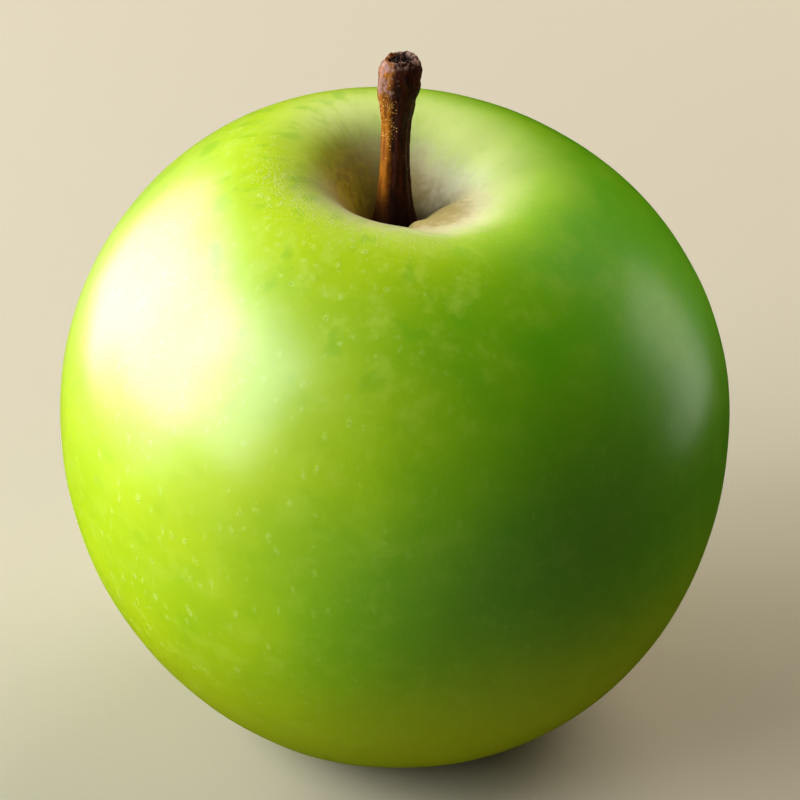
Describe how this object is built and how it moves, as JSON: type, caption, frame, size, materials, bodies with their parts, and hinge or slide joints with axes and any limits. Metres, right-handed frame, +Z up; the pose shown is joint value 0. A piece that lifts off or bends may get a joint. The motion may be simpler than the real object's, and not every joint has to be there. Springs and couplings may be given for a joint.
{
  "type": "green apple",
  "caption": "Whole green apple with its woody stalk in a deep stem cavity and a dried calyx underneath, standing on its low base lobes.",
  "frame": {"origin": "centre of the footprint, on the surface that the apple stands on", "axes": "+Z up through the stalk, +X to the right of the side that faces -Y"},
  "size_m": [0.076, 0.076, 0.081],
  "materials": {
    "skin": "waxy satin skin, yellow-green with pale pores, russet in the stem cavity",
    "bark": "rough brown bark with golden grains and a torn, crumbly end",
    "dried_calyx": "dry, downy grey-brown"
  },
  "bodies": {
    "root": {"fruit": "skin", "stalk": "bark", "stamen_tuft": "dried_calyx", "sepal_1": "dried_calyx", "sepal_2": "dried_calyx", "sepal_3": "dried_calyx", "sepal_4": "dried_calyx", "sepal_5": "dried_calyx"}
  },
  "joints": []
}
